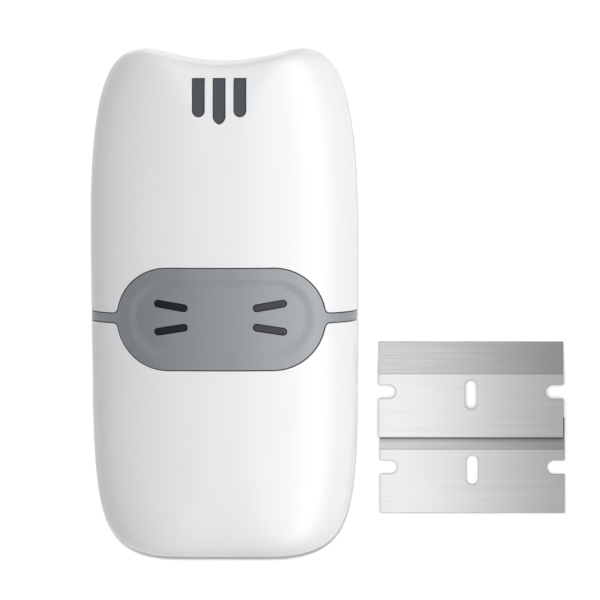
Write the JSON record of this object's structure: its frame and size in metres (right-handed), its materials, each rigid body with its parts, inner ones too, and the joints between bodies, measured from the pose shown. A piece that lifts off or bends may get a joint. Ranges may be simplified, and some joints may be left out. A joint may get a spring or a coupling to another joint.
{
  "type": "label scraper",
  "caption": "Cap-type hand scraper with an eared moulded body, grey grip band with a dished pad, hinged blade clamp, pull-off blade cap and loose spare blades.",
  "frame": {"origin": "on the flat back of the body, at the middle of its length, with the scraper lying on its back", "axes": "+Z out of the front face, +Y towards the head with the ears, -Y towards the flat foot, +X to the right seen from the front"},
  "size_m": [0.0978, 0.1046, 0.024],
  "materials": {
    "white_gloss": "smooth white moulded plastic, semi-gloss",
    "grey_matte": "soft-touch grey, fine matte grain",
    "charcoal_matte": "charcoal moulded plastic, matte",
    "pin_steel": "plain bright steel",
    "blade_steel": "brushed along the edge, with a ground band behind the cutting edge"
  },
  "bodies": {
    "handle": {"head_shell": "white_gloss", "grip_band": "grey_matte", "forehead_inlay": "charcoal_matte", "whisker_inlay_left": "charcoal_matte", "whisker_inlay_right": "charcoal_matte", "core_front": "charcoal_matte", "core_rear": "charcoal_matte", "core_screw_1": "pin_steel", "core_screw_2": "pin_steel", "core_screw_3": "pin_steel", "core_screw_4": "pin_steel", "clamp_hinge_pin": "pin_steel", "blade": "blade_steel"},
    "cap": {"foot_cap": "white_gloss"},
    "clamp": {"blade_clamp": "charcoal_matte"},
    "upper_spare": {"spare_blade_upper": "blade_steel"},
    "lower_spare": {"spare_blade_lower": "blade_steel"}
  },
  "joints": [
    {"name": "cap_slide", "type": "slide", "parent": "handle", "child": "cap", "axis": [0, -1, 0], "range_m": [0, 0.05]},
    {"name": "clamp_hinge", "type": "hinge", "parent": "handle", "child": "clamp", "pos_m": [0, -0.0148, 0.0092], "axis": [-1, 0, 0], "range_deg": [0, 20]},
    {"name": "upper_spare_lift", "type": "slide", "parent": "handle", "child": "upper_spare", "axis": [0, 0, 1], "range_m": [0, 0.03]},
    {"name": "lower_spare_draw", "type": "slide", "parent": "handle", "child": "lower_spare", "axis": [0, -1, 0], "range_m": [0, 0.02]}
  ]
}
